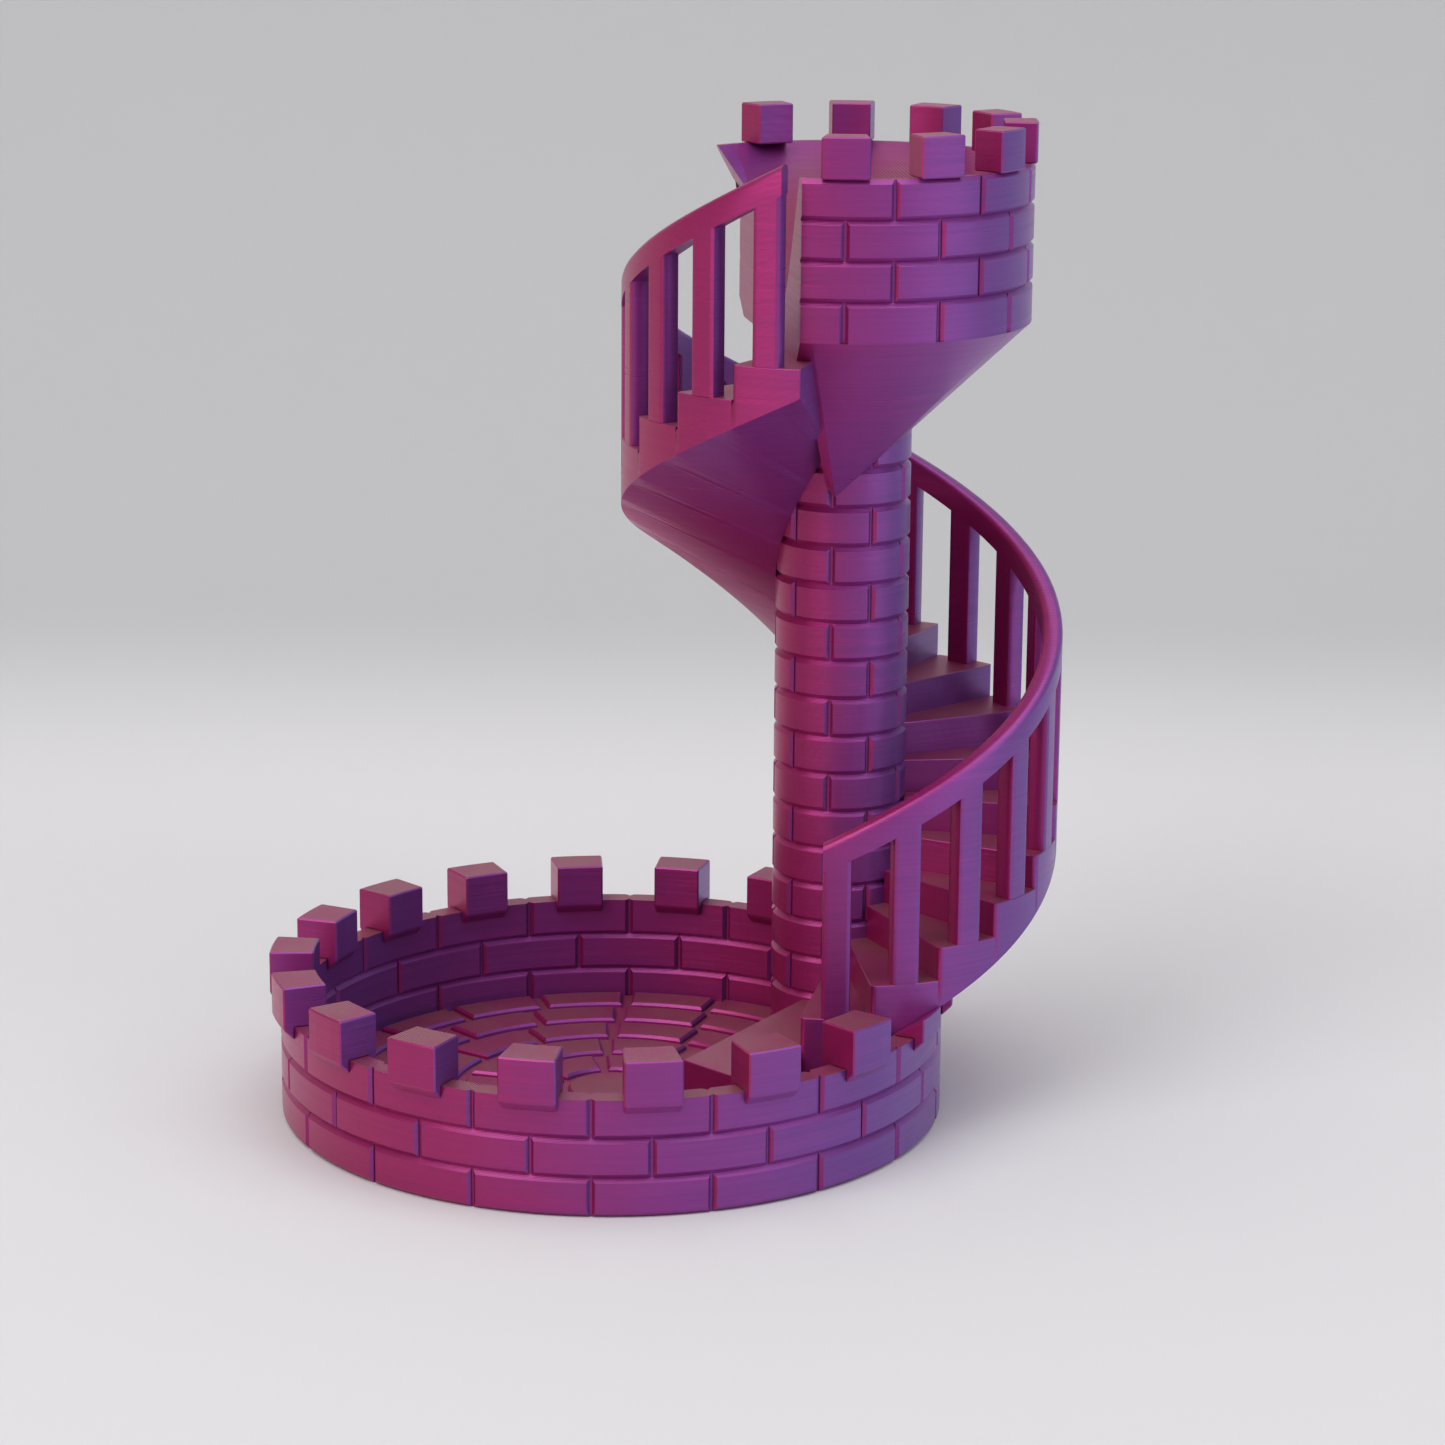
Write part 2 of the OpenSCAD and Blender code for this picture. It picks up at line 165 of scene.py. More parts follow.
class TowerStair(bpy.types.PropertyGroup):
    """Sizes of the stair and its railing"""

    string_d: FloatProperty(
        name="String depth", description="Depth of the stair's outer face below the line of the nosings",
        default=11.1 * MM, min=5 * MM, max=20 * MM, unit="LENGTH",
    )
    soffit_fall: FloatProperty(
        name="Soffit fall", description="Fall of the underside from the outer edge to the column",
        default=13.1 * MM, min=0, max=25 * MM, unit="LENGTH",
    )
    rail_z: FloatProperty(
        name="Rail height", description="Height of the handrail above the line of the nosings",
        default=30 * MM, min=15 * MM, max=45 * MM, unit="LENGTH",
    )
    rail_t: FloatProperty(
        name="Rail thickness", description="Radial thickness of the railing",
        default=3.6 * MM, min=2 * MM, max=6 * MM, unit="LENGTH",
    )
    rail_d: FloatProperty(
        name="Rail depth", description="Depth of the handrail",
        default=5 * MM, min=2 * MM, max=8 * MM, unit="LENGTH",
    )
    baluster_w: FloatProperty(
        name="Baluster width", description="Width of a baluster along the handrail",
        default=5.2 * MM, min=2 * MM, max=8 * MM, unit="LENGTH",
    )
    bar_edge: FloatProperty(
        name="Baluster edge", description="Rounding of a baluster's upright edges",
        default=0.7 * MM, min=0.1 * MM, max=1.5 * MM, unit="LENGTH",
    )
    step_edge: FloatProperty(
        name="Step corner", description="Rounding of a step's outer upright corner",
        default=0.9 * MM, min=0.1 * MM, max=2 * MM, unit="LENGTH",
    )
    edge: FloatProperty(
        name="Fine edge", description="Softened edge of treads, balusters and merlons",
        default=0.25 * MM, min=0.02 * MM, max=0.6 * MM, unit="LENGTH",
    )


class TowerFinish(bpy.types.PropertyGroup):
    """Colours of the two-tone silk plastic"""

    crimson: FloatVectorProperty(
        name="Crimson", description="Colour of faces turned fully to the magenta side",
        subtype="COLOR", size=3, default=(0.43, 0.008, 0.10), min=0, max=1,
    )
    magenta: FloatVectorProperty(
        name="Magenta", description="Colour of faces turned partly to the magenta side",
        subtype="COLOR", size=3, default=(0.43, 0.020, 0.17), min=0, max=1,
    )
    purple: FloatVectorProperty(
        name="Purple", description="Colour of faces between the two sides",
        subtype="COLOR", size=3, default=(0.33, 0.050, 0.33), min=0, max=1,
    )
    violet: FloatVectorProperty(
        name="Violet", description="Colour of faces turned to the violet side",
        subtype="COLOR", size=3, default=(0.19, 0.075, 0.40), min=0, max=1,
    )
    # Level faces' tone: partly the plastic's own colour, partly painted sheen from light falling on them
    level_tone_sheen: FloatVectorProperty(
        name="Level tone and sheen", description="Colour of level faces, which show the plastic's laid lines",
        subtype="COLOR", size=3, default=(0.34, 0.085, 0.13), min=0, max=1,
    )
    layer: FloatProperty(
        name="Layer height", description="Height of one printed layer",
        default=0.2 * MM, min=0.05 * MM, max=0.4 * MM, unit="LENGTH",
    )
    line: FloatProperty(
        name="Line width", description="Width of one laid line on a level face",
        default=0.44 * MM, min=0.2 * MM, max=1 * MM, unit="LENGTH",
    )


# ---- shader maths ----


class Value:
    """A shader socket that can be used in Python expressions"""

    def __init__(self, shader, socket):
        self.shader = shader
        self.socket = socket

    def maths(self, operation, first, second):
        return self.shader.node("ShaderNodeMath", {"operation": operation}, {0: first, 1: second})

    def __add__(self, other):
        return self.maths("ADD", self, other)

    __radd__ = __add__

    def __sub__(self, other):
        return self.maths("SUBTRACT", self, other)

    def __rsub__(self, other):
        return self.maths("SUBTRACT", other, self)

    def __mul__(self, other):
        return self.maths("MULTIPLY", self, other)

    __rmul__ = __mul__

    def __truediv__(self, other):
        return self.maths("DIVIDE", self, other)


class Shader:
    """One material and its node tree"""

    def __init__(self, name):
        self.material = bpy.data.materials.new(name)
        self.material.use_nodes = True
        self.tree = self.material.node_tree
        self.tree.nodes.clear()

    def node(self, kind, settings=None, sockets=None, output=0):
        """Adds a node, with its settings first and then its sockets' values or links"""
        made = self.tree.nodes.new(kind)
        for name, setting in (settings or {}).items():
            if name == "stops":
                self.set_stops(made.color_ramp, setting)
            else:
                setattr(made, name, setting)
        for key, given in (sockets or {}).items():
            if isinstance(given, Value):
                self.tree.links.new(given.socket, made.inputs[key])
            else:
                made.inputs[key].default_value = given
        return Value(self, made.outputs[output])

    def set_stops(self, ramp, stops):
        while len(ramp.elements) < len(stops):
            ramp.elements.new(0.5)
        for element, (position, colour) in zip(ramp.elements, stops):
            element.position = position
            element.color = (*colour, 1)

    def mix(self, factor, first, second, blend="MIX"):
        """Mixes two colours, each a socket or three numbers"""
        first, second = (c if isinstance(c, Value) else (*c, 1) for c in (first, second))
        return self.node(
            "ShaderNodeMix", {"data_type": "RGBA", "blend_type": blend},
            {0: factor, 6: first, 7: second}, output=2,
        )

    def smooth(self, value, start, end):
        """Smooth step from 0 at start to 1 at end"""
        return self.node(
            "ShaderNodeMapRange", {"interpolation_type": "SMOOTHSTEP"},
            {0: value, 1: start, 2: end, 3: 0, 4: 1},
        )

    def dot(self, vector, way):
        settings = {"operation": "DOT_PRODUCT"}
        return self.node("ShaderNodeVectorMath", settings, {0: vector, 1: way}, output="Value")

    def sine(self, value):
        return self.node("ShaderNodeMath", {"operation": "SINE"}, {0: value})

    def noise(self, vector, scale, detail=2.0, roughness=0.5):
        return self.node(
            "ShaderNodeTexNoise", {"noise_dimensions": "3D"},
            {"Vector": vector, "Scale": scale, "Detail": detail, "Roughness": roughness},
        )

    def output(self, surface):
        end = self.tree.nodes.new("ShaderNodeOutputMaterial")
        self.tree.links.new(surface.socket, end.inputs["Surface"])
        return self.material


# The magenta side of the plastic faces this way's opposite, and the violet side this way
VIOLET_WAY = Vector((cos(radians(-22)), sin(radians(-22)), 0))
# The laid lines on level faces run square to this direction
RASTER_WAY = Vector((cos(radians(10)), sin(radians(10)), 0))


def silk_material(name, finish, gloss=0.30):
    """Silk plastic whose colour turns with the face, with printed layers and laid lines"""
    shader = Shader(name)
    normal = shader.node("ShaderNodeNewGeometry", output="Normal")
    place = shader.node("ShaderNodeTexCoord", output="Object")
    towards = shader.dot(normal, VIOLET_WAY)
    up = shader.node("ShaderNodeSeparateXYZ", None, {0: normal}, output="Z")
    height = shader.node("ShaderNodeSeparateXYZ", None, {0: place}, output="Z")
    across = shader.dot(place, RASTER_WAY)

    # Each group of layers is laid a little lighter or darker, and leans the colour a little
    stretched = shader.node(
        "ShaderNodeMapping", {"vector_type": "POINT"},
        {"Vector": place, "Scale": (30, 30, 1 / finish.layer / 3)},
    )
    banding = shader.noise(stretched, 1.0, 2.0)
    cloud = shader.noise(place, 90, 3.0)
    turned = towards + (banding - 0.5) * 0.22 + (cloud - 0.5) * 0.16
    side = shader.node(
        "ShaderNodeValToRGB",
        {"stops": [
            (0.0, finish.crimson), (0.32, finish.magenta), (0.60, finish.purple), (0.93, finish.violet),
        ]},
        {"Fac": turned * 0.5 + 0.5},
    )
    # Level faces: laid lines, whose pale and deep stripes are painted sheen, with the sheen broken up
    # between them
    flat = shader.smooth(up, 0.90, 0.98)
    wander = shader.noise(place, 900, 1.0)
    lines = shader.sine((across + wander * 0.00012) * (TURN / finish.line))
    # Pale and deep line colours: painted sheen, lighter and darker line by line
    pale = tuple(min(1, c * 1.55 + 0.02) for c in finish.level_tone_sheen)
    deep = tuple(c * 0.62 for c in finish.level_tone_sheen)
    laid = shader.mix(shader.smooth(lines, -0.9, 0.9), deep, pale)
    worn = shader.mix(shader.smooth(cloud, 0.42, 0.62) * 0.45, laid, finish.magenta)
    colour = shader.mix(flat, side, worn)
    shade = shader.mix(shader.smooth(banding, 0.2, 0.8) * 0.20, colour, (0.30, 0.30, 0.32), "MULTIPLY")

    # Relief: rounded layers on upright faces, rounded lines on level ones
    ridges = shader.sine(height * (TURN / finish.layer))
    relief = ridges * (1 - flat) * 0.000012 + lines * flat * 0.00003 + banding * (1 - flat) * 0.00004
    bump = shader.node(
        "ShaderNodeBump", None, {"Strength": 1.0, "Distance": 1.0, "Height": relief}, output="Normal"
    )
    surface = shader.node(
        "ShaderNodeBsdfPrincipled",
        None,
        {
            "Base Color": shade,
            "Roughness": flat * 0.12 + (banding - 0.5) * 0.12 + gloss,
            "Metallic": 0.50,
            "IOR": 1.47,
            "Specular Tint": (1.0, 0.80, 0.95, 1),
            "Coat Weight": 0.3,
            "Coat Roughness": 0.30,
            "Normal": bump,
        },
    )
    return shader.output(surface)


def plain_material(name, low_colour, high_colour, near, far, roughness):
    """Even matt surface whose tone changes slowly with height as painted shade, for the floor and its
    backdrop
    """
    shader = Shader(name)
    place = shader.node("ShaderNodeTexCoord", output="Object")
    height = shader.node("ShaderNodeSeparateXYZ", None, {0: place}, output="Z")
    # Tone by height: painted shade where the backdrop rises
    tone = shader.mix(shader.smooth(height, near, far), low_colour, high_colour)
    grain = shader.noise(place, 40, 2.0)
    even = shader.mix((grain - 0.5) * 0.02, tone, (1, 1, 1))
    surface = shader.node(
        "ShaderNodeBsdfPrincipled", None, {"Base Color": even, "Roughness": roughness, "IOR": 1.3}
    )
    return shader.output(surface)


MATERIALS = {}


def silk():
    """The one silk finish that every piece is printed in"""
    if "silk" not in MATERIALS:
        MATERIALS["silk"] = silk_material("two_tone_silk", bpy.context.scene.tower_finish)
    return MATERIALS["silk"]


# ---- modelling ----


def polar(r, a, z=0.0):
    return Vector((r * cos(a), r * sin(a), z))


def swept(section, a_from, a_to, pitch=0.0, fine=FINE_A):
    """A bmesh swept round the Z axis from a closed section of (radius, height), rising by pitch a turn"""
    bm = bmesh.new()
    whole = abs(a_to - a_from - TURN) < 1e-6
    steps = max(1, ceil((a_to - a_from) / fine - 1e-6))
    verts = [bm.verts.new(polar(r, a_from, z)) for r, z in section]
    edges = [bm.edges.new((verts[i - 1], verts[i])) for i in range(len(verts))]
    bmesh.ops.spin(
        bm, geom=verts + edges, cent=(0, 0, 0), axis=(0, 0, 1), angle=a_to - a_from, steps=steps,
        dvec=(0, 0, pitch * (a_to - a_from) / TURN / steps), use_merge=whole,
    )
    if not whole:
        bmesh.ops.holes_fill(bm, edges=[e for e in bm.edges if e.is_boundary], sides=0)
    bmesh.ops.recalc_face_normals(bm, faces=bm.faces)
    return bm


def radius(vert):
    return hypot(vert.co.x, vert.co.y)


def bevel(bm, edges, width, segments=1):
    bmesh.ops.bevel(
        bm, geom=edges, offset=width, offset_type="OFFSET", segments=segments, profile=0.5,
        affect="EDGES", material=-1, clamp_overlap=True,
    )


def soften(bm, width, wanted):
    """Bevels the sharp edges whose two ends both pass the test"""
    edges = [
        e for e in bm.edges
        if e.is_manifold and e.calc_face_angle(0) > SMOOTH_A and all(wanted(v) for v in e.verts)
    ]
    bevel(bm, edges, width)


def add_to(whole, part):
    """Adds one bmesh's solid to another and frees it"""
    mesh = bpy.data.meshes.new("part")
    part.to_mesh(mesh)
    part.free()
    whole.from_mesh(mesh)
    bpy.data.meshes.remove(mesh)


def finished(name, bm, nodes, at=Vector((0, 0, 0)), smooth_a=SMOOTH_A):
    """Turns a bmesh into a piece that stands for the named nodes"""
    bmesh.ops.translate(bm, verts=bm.verts, vec=at)
    bmesh.ops.triangulate(bm, faces=[f for f in bm.faces if len(f.verts) > 4])
    mesh = bpy.data.meshes.new(name)
    bm.to_mesh(mesh)
    bm.free()
    mesh.polygons.foreach_set("use_smooth", [True] * len(mesh.polygons))
    mesh.set_sharp_from_angle(angle=smooth_a)
    mesh.materials.append(silk())
    piece = bpy.data.objects.new(name, mesh)
    bpy.context.scene.collection.objects.link(piece)
    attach(piece, "root")
    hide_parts(*nodes)
    return piece


def refined(name, node, width):
    """A merged copy of a node's solid with its sharp edges softened, standing for it"""
    bm = bmesh.new()
    bm.from_mesh(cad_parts[node].data)
    bmesh.ops.remove_doubles(bm, verts=bm.verts, dist=0.001 * MM)
    bmesh.ops.dissolve_limit(bm, angle_limit=radians(0.4), verts=bm.verts, edges=bm.edges)
    soften(bm, width, lambda v: True)
    return finished(name, bm, [node], smooth_a=REFINED_A)


def spans(count, phase, gap, a_from=None, a_to=None):
    """Angles from one joint to the next round a course, kept between a_from and a_to"""
    pitch = TURN / count
    turns = range(-count, 2 * count) if a_from is not None else range(count)
    found = []
    for i in turns:
        start, end = phase + i * pitch + gap / 2, phase + (i + 1) * pitch - gap / 2
        if a_from is not None:
            start, end = max(start, a_from), min(end, a_to)
        if end - start > 2 * gap:
            found.append((start, end))
    return found


def brick(core_r, face_r, z, h, span, bricks, flush):
    """One brick: a curved block chamfered along its face, but not at the heights in flush"""
    inward = bricks.chamfer if face_r > core_r else -bricks.chamfer
    section = [(core_r, z)]
    for end, up in ((z, bricks.chamfer), (z + h, -bricks.chamfer)):
        if any(abs(end - level) < NEAR for level in flush):
            section.append((face_r, end))
        else:
            slope = [(face_r - inward, end), (face_r, end + up)]
            section += slope if up > 0 else slope[::-1]
    section.append((core_r, z + h))
    bm = swept(section, *span, fine=max(BRICK_FINE_A, 1.2 * bricks.joint_side / face_r))
    sides = [
        e for e in bm.edges
        if e.calc_face_angle(0) > SMOOTH_A and abs(e.verts[0].co.z - e.verts[1].co.z) > 0.1 * MM
        and all(abs(radius(v) - core_r) > NEAR for v in e.verts)
    ]
    bevel(bm, sides, bricks.joint_side)
    return bm


def brick_ring(whole, core_r, face_r, z, h, count, phase, bricks, limits=(None, None), flush=()):
    """A course's facing bricks on one side of its core"""
    gap = bricks.joint_w / face_r
    for span in spans(count, phase, gap, *limits):
        add_to(whole, brick(core_r, face_r, z, h, span, bricks, flush))


# ---- operators ----


class Maker(bpy.types.Operator):
    """Base of the operators that make the pieces"""

    bl_options = {"REGISTER", "UNDO"}


class TOWER_OT_tray_walls(Maker):
    """Makes the three brick courses of the tray wall"""

    bl_idname = "tower.tray_walls"
    bl_label = "Tray wall"

    def execute(self, context):
        bricks = context.scene.tower_bricks
        outer_core, inner_core = TRAY_R - bricks.joint_d, WALL_IN_R + bricks.joint_d
        for n in range(WALL_COURSES):
            z = n * COURSE_H
            phase = WALL_PHASE + (n % 2) * pi / bricks.wall_bricks
            top = z + COURSE_H
            whole = swept([(inner_core, z), (outer_core, z), (outer_core, top), (inner_core, top)], 0, TURN)
            ring = (z, COURSE_H, bricks.wall_bricks, phase, bricks)
            for core_r, face_r in ((outer_core, TRAY_R), (inner_core, WALL_IN_R)):
                brick_ring(whole, core_r, face_r, *ring, flush=(WALL_COURSES * COURSE_H,))
            finished(f"wall_bricks_{n + 1}", whole, [f"wall_course_{n + 1}"])
        return {"FINISHED"}


class TOWER_OT_paving(Maker):
    """Makes the rings of paving stones round the middle stone"""

    bl_idname = "tower.paving"
    bl_label = "Paving"

    def execute(self, context):
        bricks = context.scene.tower_bricks
        pitch = (WALL_IN_R - CENTRE_STONE_R) / PAVING_RINGS
        above_slab = lambda v: v.co.z > FLOOR_Z - NEAR
        outline = [(0, SLAB_Z), (CENTRE_STONE_R, SLAB_Z), (CENTRE_STONE_R, FLOOR_Z), (0, FLOOR_Z)]
        middle = swept(outline, 0, TURN)
        bmesh.ops.remove_doubles(middle, verts=middle.verts, dist=0.001 * MM)
        soften(middle, bricks.stone_edge, above_slab)
        finished("middle_stone", middle, ["centre_stone"])
        for n in range(1, PAVING_RINGS + 1):
            r0 = CENTRE_STONE_R + (n - 1) * pitch + bricks.paving_gap
            r1 = CENTRE_STONE_R + n * pitch - (WALL_GAP if n == PAVING_RINGS else 0)
            stones = BASE_STONES + ADDED_STONES * n
            gap = 2 * asin(bricks.paving_gap / (r0 + r1))
            whole = bmesh.new()
            for a_from, a_to in spans(stones, n / 2 * TURN / stones, gap):
                outline = [(r0, SLAB_Z), (r1, SLAB_Z), (r1, FLOOR_Z), (r0, FLOOR_Z)]
                stone = swept(outline, a_from, a_to, fine=STONE_FINE_A)
                soften(stone, bricks.stone_edge, above_slab)
                add_to(whole, stone)
            finished(f"paving_stones_{n}", whole, [f"paving_ring_{n}"])
        return {"FINISHED"}


class TOWER_OT_refined(Maker):
    """Softens the edges of the tray's and parapet's merlons, the landing and the funnel"""

    bl_idname = "tower.refined"
    bl_label = "Merlons, landing and funnel"

    def execute(self, context):
        edge = context.scene.tower_stair.edge
        refined("wall_merlons", "tray_merlons", 1.6 * edge)
        refined("stair_landing", "landing", 0.6 * edge)
        refined("funnel_shell", "funnel_bowl", 0.5 * edge)
        refined("rim_merlons", "parapet_merlons", edge)
        return {"FINISHED"}


class TOWER_OT_column(Maker):
    """Makes the column's brick courses, in three runs, and the drum on top"""

    bl_idname = "tower.column"
    bl_label = "Column"

    def execute(self, context):
        bricks = context.scene.tower_bricks
        core_r = COLUMN_R - bricks.joint_d
        third, two_thirds = COLUMN_COURSES // 3, 2 * COLUMN_COURSES // 3
        runs = (
            ("lower", 0, third), ("middle", third, two_thirds), ("upper", two_thirds, COLUMN_COURSES),
        )
        for name, first, last in runs:
            z0, z1 = FOOT_TOP + first * TOWER_COURSE_H, FOOT_TOP + last * TOWER_COURSE_H
            whole = swept([(0, z0), (core_r, z0), (core_r, z1), (0, z1)], 0, TURN)
            bmesh.ops.remove_doubles(whole, verts=whole.verts, dist=0.001 * MM)
            for i in range(first, last):
                phase = COLUMN_PHASE + (i % 2) * pi / bricks.column_bricks
                z = FOOT_TOP + i * TOWER_COURSE_H
                brick_ring(whole, core_r, COLUMN_R, z, TOWER_COURSE_H, bricks.column_bricks, phase, bricks)
            if last == COLUMN_COURSES:
                drum = swept([(0, z1), (COLUMN_R, z1), (COLUMN_R, TOP_Z), (0, TOP_Z)], 0, TURN)
                bmesh.ops.remove_doubles(drum, verts=drum.verts, dist=0.001 * MM)
                add_to(whole, drum)
            finished(f"column_bricks_{name}", whole, [f"column_{name}_courses"], TOWER_AT)
        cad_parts["column_foot"].data.materials[0] = silk()
        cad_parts["tray_base"].data.materials[0] = silk()
        return {"FINISHED"}


class TOWER_OT_treads(Maker):
    """Makes the twenty treads, with a smooth spiral underside and outer face"""

    bl_idname = "tower.treads"
    bl_label = "Treads"

    def execute(self, context):
        stair = context.scene.tower_stair
        for n in range(TREADS):
            top = LANDING_Z + (n + 1) * RISE
            string_z = top - stair.string_d
            section = [
                (COLUMN_R, string_z - stair.soffit_fall), (STAIR_R, string_z),
                (STAIR_R, top), (COLUMN_R, top),
            ]
            a_from = STAIR_START + n * STEP_A
            tread = swept(section, a_from, a_from + STEP_A, PITCH)
            for vert in tread.verts:
                if vert.co.z > top - NEAR:
                    vert.co.z = top
                vert.co.z = max(vert.co.z, FLOOR_Z)
            round_corner(tread, a_from, top - RISE, stair.step_edge)
            front = a_from + 0.01 * STEP_A
            soften(
                tread, 0.6 * stair.edge,
                lambda v: v.co.z > top - NEAR
                and (abs(radius(v) - STAIR_R) < NEAR or tower_angle(v.co) - a_from < front - a_from),
            )
            finished(f"stair_tread_{n + 1:02d}", tread, [f"tread_{n + 1:02d}"], TOWER_AT)
        return {"FINISHED"}


def round_corner(tread, a_from, tread_z, width):
    """Rounds a step's outer upright corner, down to the height of the step before it"""
    geom = [*tread.verts, *tread.edges, *tread.faces]
    bmesh.ops.bisect_plane(tread, geom=geom, dist=0.001 * MM, plane_co=(0, 0, tread_z), plane_no=(0, 0, 1))
    corner = [
        e for e in tread.edges
        if all(
            abs(radius(v) - STAIR_R) < NEAR and abs(tower_angle(v.co) - a_from) < 0.001
            and v.co.z > tread_z - NEAR for v in e.verts
        )
    ]
    bevel(tread, corner, width, segments=3)


def tower_angle(point):
    """Angle of a point round the tower's axis, counted up from the first riser"""
    a = atan2(point.y, point.x)
    while a < STAIR_START - 1e-4:
        a += TURN
    return a


def nosing_z(a):
    """Height of the line through the nosings at angle a from the first riser"""
    return LANDING_Z + RISE + RISE * a / STEP_A


class TOWER_OT_railing(Maker):
    """Makes the balusters and the handrail that winds up over them"""

    bl_idname = "tower.railing"
    bl_label = "Railing"

    def execute(self, context):
        stair = context.scene.tower_stair
        r0, r1 = STAIR_R - stair.rail_t, STAIR_R
        half_a = asin(stair.baluster_w / 2 / STAIR_R)
        whole = bmesh.new()
        for n in range(TREADS):
            middle = (n + 0.5) * STEP_A
            foot = LANDING_Z + (n + 1) * RISE
            head = nosing_z(middle - half_a) + stair.rail_z - stair.rail_d
            bar = swept([(r0, foot), (r1, foot), (r1, head), (r0, head)],
                        STAIR_START + middle - half_a, STAIR_START + middle + half_a, PITCH)
            for vert in bar.verts:
                if vert.co.z < (foot + head) / 2:
                    vert.co.z = foot
            upright = [
                e for e in bar.edges
                if e.calc_face_angle(0) > SMOOTH_A and abs(e.verts[0].co.z - e.verts[1].co.z) > 10 * MM
            ]
            bevel(bar, upright, stair.bar_edge, segments=2)
            add_to(whole, bar)
        finished("stair_balusters", whole, ["balusters"], TOWER_AT)

        crown = stair.rail_t / 3
        z = nosing_z(STEP_A / 2 - half_a) + stair.rail_z
        arcs = [
            (centre + crown * cos(t), z - crown + crown * sin(t))
            for centre, turn_from in ((r1 - crown, 0), (r0 + crown, pi / 2))
            for t in (turn_from + i * pi / 6 for i in range(4))
        ]
        section = [(r0, z - stair.rail_d), (r1, z - stair.rail_d), *arcs]
        rail = swept(section, STAIR_START + STEP_A / 2 - half_a,
                     STAIR_START + (TREADS - 0.5) * STEP_A + half_a, PITCH)
        finished("stair_handrail", rail, ["handrail"], TOWER_AT)
        return {"FINISHED"}


class TOWER_OT_parapet(Maker):
    """Makes the parapet's four brick courses, cut at the funnel's open side"""

    bl_idname = "tower.parapet"
    bl_label = "Parapet"

    def execute(self, context):
        bricks = context.scene.tower_bricks
        core_in, core_r = PARAPET_R - PARAPET_BRICK_T, PARAPET_R - bricks.joint_d
        for n in range(PARAPET_COURSES):
            z = RIM_Z - (n + 1) * TOWER_COURSE_H
            h = TOWER_COURSE_H
            phase = PARAPET_PHASE + (n % 2) * pi / bricks.parapet_bricks
            limits = (front_limit(core_in), back_limit(z + h, core_in))
            whole = swept([(core_in, z), (core_r, z), (core_r, z + h), (core_in, z + h)], *limits)
            brick_ring(whole, core_r, PARAPET_R, z, h, bricks.parapet_bricks, phase, bricks, limits,
                       flush=(RIM_Z - PARAPET_COURSES * TOWER_COURSE_H,))
            trim_to_open_side(whole)
            finished(f"parapet_bricks_{n + 1}", whole, [f"parapet_course_{n + 1}"], TOWER_AT)
        return {"FINISHED"}


def front_limit(r):
    """Angle at which the open side's front edge stands at radius r"""
    return OPEN_A + acos(OPEN_X / r) - TURN


def back_limit(z, r):
    """Angle of the open side's back edge at height z and radius r: upright, then leaning out to its tip"""
    lean = min(1, max(0, (z - RIM_Z + BACK_TIP_H) / BACK_TIP_H))
    return OPEN_A - acos((OPEN_X + lean * (TIP_X - OPEN_X)) / r)


def trim_to_open_side(bm):
    """Draws back every point that stands past the open side's edges, so that the pieces end on them"""
    for vert in bm.verts:
        a, r, z = atan2(vert.co.y, vert.co.x), radius(vert), vert.co.z
        if a > pi / 2:
            vert.co = polar(r, min(a, back_limit(z, r)), z)
        elif a < -pi / 2:
            vert.co = polar(r, max(a, front_limit(r)), z)
    bmesh.ops.dissolve_degenerate(bm, edges=bm.edges, dist=0.002 * MM)


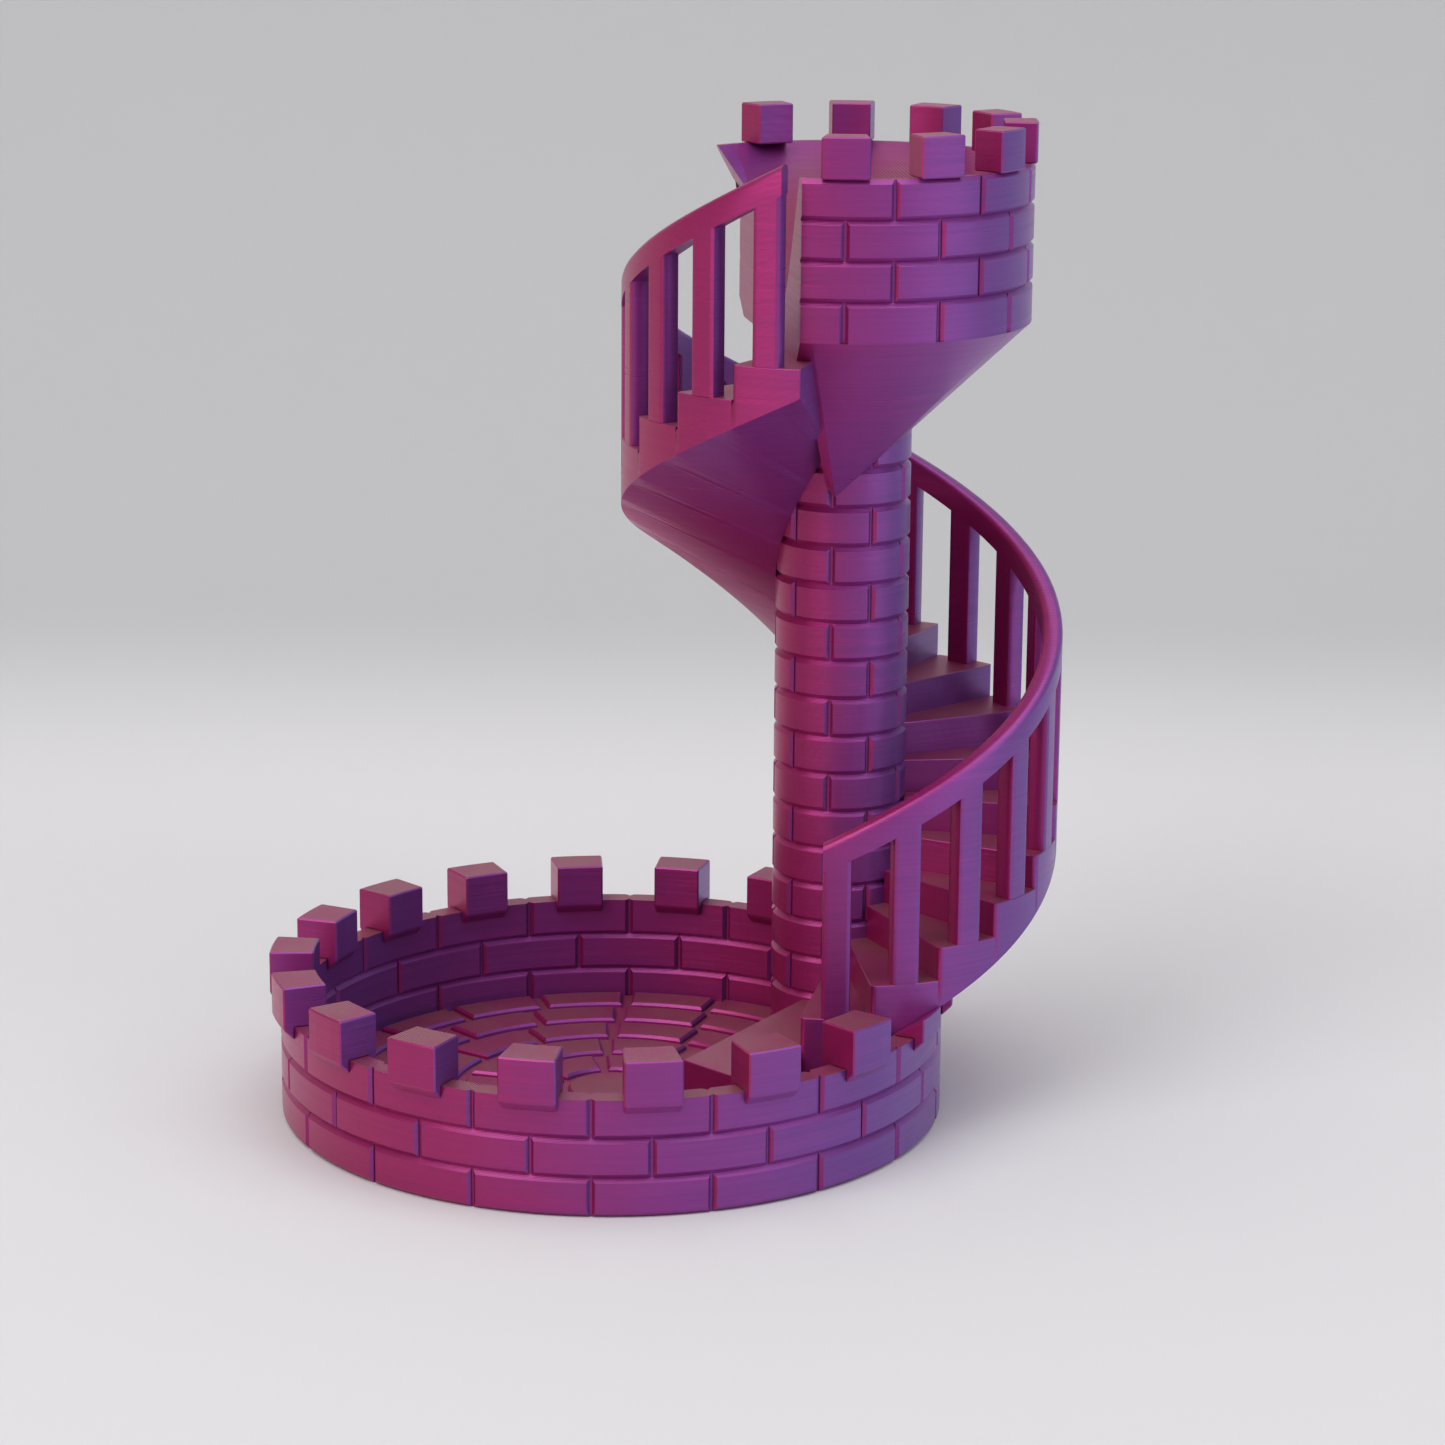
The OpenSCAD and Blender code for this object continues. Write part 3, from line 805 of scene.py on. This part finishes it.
class TOWER_OT_stage(Maker):
    """Makes the pale floor with its soft backdrop, the lights and the camera"""

    bl_idname = "tower.stage"
    bl_label = "Floor, lights and camera"

    def execute(self, context):
        scene = context.scene
        self.floor()
        self.lights(scene)
        self.camera(scene)
        return {"FINISHED"}

    def floor(self):
        """A seamless sweep: level floor, quarter round and upright back"""
        view_way = Vector((sin(VIEW_HEADING), cos(VIEW_HEADING), 0))
        side_way = Vector((view_way.y, -view_way.x, 0))
        bm = bmesh.new()
        start = [bm.verts.new(side_way * s * SWEEP_HALF_W - view_way * SWEEP_FRONT) for s in (-1, 1)]
        edge = bm.edges.new(start)
        level = bmesh.ops.extrude_edge_only(bm, edges=[edge])["geom"]
        moved = [v for v in level if isinstance(v, bmesh.types.BMVert)]
        bmesh.ops.translate(bm, verts=moved, vec=view_way * (SWEEP_FRONT + SWEEP_BACK))
        last = [e for e in level if isinstance(e, bmesh.types.BMEdge) and all(v in moved for v in e.verts)]
        centre = view_way * SWEEP_BACK + Vector((0, 0, SWEEP_R))
        bent = bmesh.ops.spin(
            bm, geom=last + moved, cent=centre, axis=side_way, angle=pi / 2, steps=24, dvec=(0, 0, 0)
        )["geom_last"]
        top = [e for e in bent if isinstance(e, bmesh.types.BMEdge)]
        rise = bmesh.ops.extrude_edge_only(bm, edges=top)["geom"]
        raised = [v for v in rise if isinstance(v, bmesh.types.BMVert)]
        bmesh.ops.translate(bm, verts=raised, vec=(0, 0, SWEEP_H))
        mesh = bpy.data.meshes.new("sweep")
        bm.to_mesh(mesh)
        bm.free()
        mesh.polygons.foreach_set("use_smooth", [True] * len(mesh.polygons))
        # Pale floor darkening towards the upright back: painted shade
        mesh.materials.append(
            plain_material("pale_sweep", (0.76, 0.75, 0.76), (0.545, 0.545, 0.55), 0.0, 0.03, 0.85)
        )
        sweep = bpy.data.objects.new("sweep", mesh)
        bpy.context.scene.collection.objects.link(sweep)

    def lights(self, scene):
        world = bpy.data.worlds.new("studio")
        world.use_nodes = True
        world.node_tree.nodes["Background"].inputs["Color"].default_value = (0.96, 0.95, 1.0, 1)
        world.node_tree.nodes["Background"].inputs["Strength"].default_value = 0.30
        scene.world = world
        view_way = Vector((sin(VIEW_HEADING), cos(VIEW_HEADING), 0))
        side_way = Vector((view_way.y, -view_way.x, 0))
        aim = Vector((0, 0, 0.08))
        lamps = (
            ("key", -0.75, -0.75, 1.05, 0.9, 6.5),
            ("fill", 0.95, -0.45, 0.70, 0.8, 2.6),
            ("top", 0.0, -0.10, 1.25, 1.5, 9.5),
        )
        for name, side, ahead, up, size, power in lamps:
            light = bpy.data.lights.new(name, "AREA")
            light.size = size
            light.energy = power
            lamp = bpy.data.objects.new(name, light)
            lamp.location = side_way * side + view_way * ahead + Vector((0, 0, up))
            lamp.rotation_euler = (aim - lamp.location).to_track_quat("-Z", "Y").to_euler()
            scene.collection.objects.link(lamp)

    def camera(self, scene):
        data = bpy.data.cameras.new("camera")
        data.sensor_width = 36
        data.lens = VIEW_LENS
        data.clip_start = 0.05
        data.clip_end = 20
        camera = bpy.data.objects.new("camera", data)
        turn = (
            Matrix.Rotation(-VIEW_HEADING, 4, "Z")
            @ Matrix.Rotation(pi / 2 - VIEW_PITCH, 4, "X")
            @ Matrix.Rotation(VIEW_ROLL, 4, "Z")
        )
        camera.matrix_world = Matrix.Translation(VIEW_FROM) @ turn
        scene.collection.objects.link(camera)
        scene.camera = camera


VIEW_FROM = Vector((-0.2399, -0.6458, 0.2465))
VIEW_HEADING = radians(22.02)
VIEW_PITCH = radians(14.277)
VIEW_ROLL = radians(0.479)
VIEW_LENS = 98.92
SWEEP_HALF_W = 1.6
SWEEP_FRONT = 1.4
SWEEP_BACK = 0.15
SWEEP_R = 0.30
SWEEP_H = 1.6


class TOWER_PT_panel(bpy.types.Panel):
    """Sidebar panel with the tower's sizes, colours and makers"""

    bl_label = "Dice tower"
    bl_idname = "TOWER_PT_panel"
    bl_space_type = "VIEW_3D"
    bl_region_type = "UI"
    bl_category = "Dice tower"

    def draw(self, context):
        for group in (context.scene.tower_bricks, context.scene.tower_stair, context.scene.tower_finish):
            for name in group.bl_rna.properties.keys():
                if name not in ("rna_type", "name"):
                    self.layout.prop(group, name)
        for maker in MAKERS:
            self.layout.operator(maker.bl_idname)


MAKERS = (
    TOWER_OT_tray_walls, TOWER_OT_paving, TOWER_OT_refined, TOWER_OT_column,
    TOWER_OT_treads, TOWER_OT_railing, TOWER_OT_parapet, TOWER_OT_stage,
)
CLASSES = (TowerBricks, TowerStair, TowerFinish, *MAKERS, TOWER_PT_panel)


def register():
    for cls in CLASSES:
        bpy.utils.register_class(cls)
    bpy.types.Scene.tower_bricks = PointerProperty(type=TowerBricks)
    bpy.types.Scene.tower_stair = PointerProperty(type=TowerStair)
    bpy.types.Scene.tower_finish = PointerProperty(type=TowerFinish)


def unregister():
    del bpy.types.Scene.tower_finish
    del bpy.types.Scene.tower_stair
    del bpy.types.Scene.tower_bricks
    for cls in reversed(CLASSES):
        bpy.utils.unregister_class(cls)


def main():
    register()
    bpy.context.scene.view_settings.view_transform = "Standard"
    for maker in MAKERS:
        group, action = maker.bl_idname.split(".")
        getattr(getattr(bpy.ops, group), action)()


if __name__ == "__main__":
    main()
